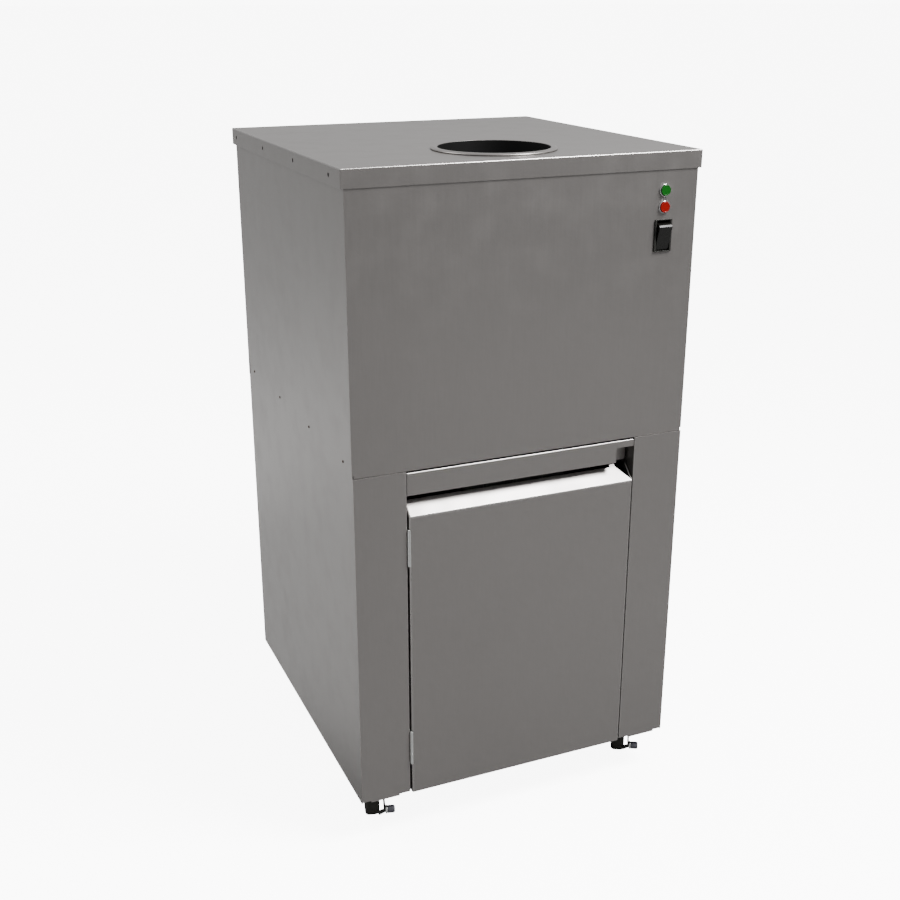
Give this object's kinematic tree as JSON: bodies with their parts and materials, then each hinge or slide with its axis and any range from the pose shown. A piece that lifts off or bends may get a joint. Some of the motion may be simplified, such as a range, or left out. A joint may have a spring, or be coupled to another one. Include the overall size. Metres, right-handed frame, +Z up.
{
  "type": "trash compactor",
  "caption": "Floor-standing trash compactor with a round top chute, a screw-driven ram, a front bin door with a pull ledge, front controls and swivel casters.",
  "frame": {"origin": "middle of the footprint's bounding rectangle, on the floor", "axes": "+Z up, +X to the right across the front, +Y to the back"},
  "size_m": [0.61, 0.6396, 1.156],
  "materials": {
    "cabinet_steel": "fine satin stainless sheet",
    "zinc_steel": "zinc plated",
    "dark_steel": "dark satin",
    "ram_steel": "plain satin",
    "black_plastic": "moulded black",
    "chrome": "polished",
    "chute_black": "black satin",
    "bin_steel": "satin powder coat",
    "motor_paint": "painted",
    "nut_bronze": "machined bronze",
    "green_lens": "moulded green",
    "red_lens": "moulded red",
    "tread": "moulded rubber tread"
  },
  "bodies": {
    "cabinet": {"top_cover": "cabinet_steel", "upper_front_panel": "cabinet_steel", "upper_left_panel": "cabinet_steel", "upper_right_panel": "cabinet_steel", "upper_back_panel": "cabinet_steel", "lower_left_panel": "cabinet_steel", "lower_right_panel": "cabinet_steel", "lower_back_panel": "cabinet_steel", "left_front_post": "cabinet_steel", "right_front_post": "cabinet_steel", "header_rail": "cabinet_steel", "chute": "chute_black", "door_catch": "zinc_steel", "base_pan": "zinc_steel", "deck_plate": "zinc_steel", "bridge_plate": "zinc_steel", "control_box": "zinc_steel", "upper_hinge_frame_leaf": "zinc_steel", "upper_hinge_pin": "zinc_steel", "lower_hinge_frame_leaf": "zinc_steel", "lower_hinge_pin": "zinc_steel", "interlock_switch": "black_plastic", "power_inlet": "black_plastic", "rocker_frame": "black_plastic", "left_guide_rod": "chrome", "right_guide_rod": "chrome", "green_button_bezel": "chrome", "red_button_bezel": "chrome", "bin": "bin_steel", "gearbox": "motor_paint", "motor": "motor_paint", "drive_chain": "dark_steel", "upper_bearing": "dark_steel"},
    "door": {"door_skin": "cabinet_steel", "door_inner_panel": "zinc_steel", "upper_hinge_door_leaf": "zinc_steel", "lower_hinge_door_leaf": "zinc_steel"},
    "ram": {"ram_platen": "ram_steel", "ram_skirt": "ram_steel", "ram_crosshead": "ram_steel", "ram_sleeve": "chute_black", "screw_nut": "nut_bronze"},
    "front_flap": {"front_trap_flap": "ram_steel"},
    "rear_flap": {"rear_trap_flap": "ram_steel"},
    "screw": {"lead_screw": "zinc_steel", "screw_sprocket": "dark_steel"},
    "drive_shaft": {"drive_sprocket": "dark_steel"},
    "green_button": {"green_button": "green_lens"},
    "red_button": {"red_button": "red_lens"},
    "rocker": {"rocker_switch": "black_plastic"},
    "front_left_caster": {"front_left_caster_fork": "zinc_steel"},
    "front_left_wheel": {"front_left_wheel": "tread"},
    "front_right_caster": {"front_right_caster_fork": "zinc_steel"},
    "front_right_wheel": {"front_right_wheel": "tread"},
    "rear_left_caster": {"rear_left_caster_fork": "zinc_steel"},
    "rear_left_wheel": {"rear_left_wheel": "tread"},
    "rear_right_caster": {"rear_right_caster_fork": "zinc_steel"},
    "rear_right_wheel": {"rear_right_wheel": "tread"},
    "front_left_brake": {"front_left_brake_lever": "black_plastic"},
    "front_right_brake": {"front_right_brake_lever": "black_plastic"}
  },
  "joints": [
    {"name": "door_hinge", "type": "hinge", "parent": "cabinet", "child": "door", "pos_m": [-0.20675, -0.31316, 0.38], "axis": [0, 0, -1], "range_deg": [0, 115]},
    {"name": "ram_slide", "type": "slide", "parent": "cabinet", "child": "ram", "axis": [0, 0, -1], "range_m": [0, 0.318]},
    {"name": "front_flap_hinge", "type": "hinge", "parent": "ram", "child": "front_flap", "pos_m": [0, -0.27116, 0.681], "axis": [1, 0, 0], "range_deg": [0, 90]},
    {"name": "rear_flap_hinge", "type": "hinge", "parent": "ram", "child": "rear_flap", "pos_m": [0, -0.07916, 0.681], "axis": [-1, 0, 0], "range_deg": [0, 90]},
    {"name": "screw_spin", "type": "hinge", "parent": "cabinet", "child": "screw", "pos_m": [0, 0.00484, 1.1], "axis": [0, 0, 1], "continuous": true},
    {"name": "drive_spin", "type": "hinge", "parent": "cabinet", "child": "drive_shaft", "pos_m": [0, 0.23884, 1.1], "axis": [0, 0, 1], "continuous": true},
    {"name": "green_button_press", "type": "slide", "parent": "cabinet", "child": "green_button", "axis": [0, 1, 0], "range_m": [0, 0.003], "stiffness_N_per_m": 600},
    {"name": "red_button_press", "type": "slide", "parent": "cabinet", "child": "red_button", "axis": [0, 1, 0], "range_m": [0, 0.003], "stiffness_N_per_m": 600},
    {"name": "rocker_tilt", "type": "hinge", "parent": "cabinet", "child": "rocker", "pos_m": [0.2385, -0.30616, 1.0187], "axis": [-1, 0, 0], "range_deg": [0, 32]},
    {"name": "front_left_swivel", "type": "hinge", "parent": "cabinet", "child": "front_left_caster", "pos_m": [-0.246, -0.20016, 0.09], "axis": [0, 0, 1], "continuous": true},
    {"name": "front_left_roll", "type": "hinge", "parent": "front_left_caster", "child": "front_left_wheel", "pos_m": [-0.25377, -0.22914, 0.0375], "axis": [0.9659, -0.2588, 0], "continuous": true},
    {"name": "front_left_brake_press", "type": "hinge", "parent": "front_left_caster", "child": "front_left_brake", "pos_m": [-0.24311, -0.25891, 0.072], "axis": [0.9659, -0.2588, 0], "range_deg": [0, 12]},
    {"name": "front_right_swivel", "type": "hinge", "parent": "cabinet", "child": "front_right_caster", "pos_m": [0.272, -0.20016, 0.09], "axis": [0, 0, 1], "continuous": true},
    {"name": "front_right_roll", "type": "hinge", "parent": "front_right_caster", "child": "front_right_wheel", "pos_m": [0.257, -0.22614, 0.0375], "axis": [0.866, -0.5, 0], "continuous": true},
    {"name": "front_right_brake_press", "type": "hinge", "parent": "front_right_caster", "child": "front_right_brake", "pos_m": [0.25959, -0.25766, 0.072], "axis": [0.866, -0.5, 0], "range_deg": [0, 12]},
    {"name": "rear_left_swivel", "type": "hinge", "parent": "cabinet", "child": "rear_left_caster", "pos_m": [-0.252, 0.23384, 0.09], "axis": [0, 0, 1], "continuous": true},
    {"name": "rear_left_roll", "type": "hinge", "parent": "rear_left_caster", "child": "rear_left_wheel", "pos_m": [-0.252, 0.20384, 0.0375], "axis": [1, 0, 0], "continuous": true},
    {"name": "rear_right_swivel", "type": "hinge", "parent": "cabinet", "child": "rear_right_caster", "pos_m": [0.252, 0.23384, 0.09], "axis": [0, 0, 1], "continuous": true},
    {"name": "rear_right_roll", "type": "hinge", "parent": "rear_right_caster", "child": "rear_right_wheel", "pos_m": [0.252, 0.20384, 0.0375], "axis": [1, 0, 0], "continuous": true}
  ],
  "couplings": [
    {"joint": "screw_spin", "follows": "ram_slide", "rad_per_m": 628.32},
    {"joint": "drive_spin", "follows": "ram_slide", "rad_per_m": 1256.6}
  ]
}
